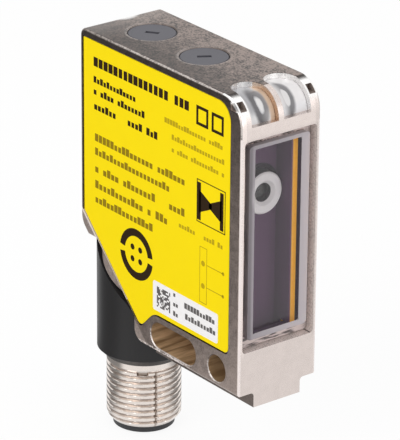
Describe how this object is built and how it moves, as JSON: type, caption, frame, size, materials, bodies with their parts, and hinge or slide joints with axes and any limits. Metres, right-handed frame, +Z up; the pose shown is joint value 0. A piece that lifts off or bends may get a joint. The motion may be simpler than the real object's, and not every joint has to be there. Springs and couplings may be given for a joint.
{
  "type": "safety through-beam sensor",
  "caption": "Flat metal-framed photoelectric beam sensor with a clear front window, corner indicator lenses, yellow side label and a swivelling threaded plug connector.",
  "frame": {"origin": "centre of the round mounting hole, on the mid-plane between the two sides", "axes": "+X is the way the beam leaves the window, +Z is up along the window and -Y is the label side"},
  "size_m": [0.0411, 0.015, 0.0667],
  "materials": {
    "frame_metal": "matt nickel over a grainy zinc die-casting",
    "cover_plastic": "matt",
    "label_yellow": "satin foil",
    "sticker_white": "satin foil",
    "window_clear": "clear",
    "lens_clear": "clear",
    "carrier_dark": "matt",
    "barrel_metal": "anodised, satin",
    "optic_glass": "coated",
    "diode_metal": "plated",
    "board_amber": "laminate",
    "chip_black": "matt",
    "led_white": "gloss",
    "trimmer_body": "satin",
    "adjuster_grey": "satin",
    "seal_black": "matt",
    "elbow_black": "satin",
    "sleeve_nickel": "bright nickel",
    "insert_black": "matt",
    "pin_gold": "gold plated",
    "retainer_steel": "plain",
    "wire_insulation": "matt"
  },
  "bodies": {
    "housing": {"housing_frame": "frame_metal", "label_side_cover": "cover_plastic", "plain_side_cover": "cover_plastic", "label_side_seal": "seal_black", "plain_side_seal": "seal_black", "rating_label": "label_yellow", "serial_sticker": "sticker_white", "front_window": "window_clear", "window_seal": "seal_black", "indicator_lens_left": "lens_clear", "indicator_lens_right": "lens_clear", "indicator_led_left": "led_white", "indicator_led_right": "led_white", "indicator_board": "board_amber", "optics_carrier": "carrier_dark", "laser_barrel": "barrel_metal", "collimator_lens": "optic_glass", "laser_diode": "diode_metal", "main_board": "board_amber", "board_chips": "chip_black", "trimmer_front": "trimmer_body", "trimmer_rear": "trimmer_body", "lead_wires": "wire_insulation"},
    "swivel": {"swivel_elbow": "elbow_black", "swivel_seal": "seal_black", "swivel_retainer": "retainer_steel", "thread_sleeve": "sleeve_nickel", "contact_insert": "insert_black", "contact_pins": "pin_gold", "plug_leads": "wire_insulation"},
    "front_adjuster": {"adjuster_front": "adjuster_grey", "adjuster_seal_front": "seal_black"},
    "rear_adjuster": {"adjuster_rear": "adjuster_grey", "adjuster_seal_rear": "seal_black"}
  },
  "joints": [
    {"name": "connector_swivel", "type": "hinge", "parent": "housing", "child": "swivel", "pos_m": [-0.02825, 0, 0.00598], "axis": [-0.7071, 0, -0.7071], "range_deg": [0, 180]},
    {"name": "front_adjuster_turn", "type": "hinge", "parent": "housing", "child": "front_adjuster", "pos_m": [-0.01325, 0, 0.0435], "axis": [0, 0, 1], "range_deg": [-135, 135]},
    {"name": "rear_adjuster_turn", "type": "hinge", "parent": "housing", "child": "rear_adjuster", "pos_m": [-0.0263, 0, 0.0435], "axis": [0, 0, 1], "range_deg": [-135, 135]}
  ]
}
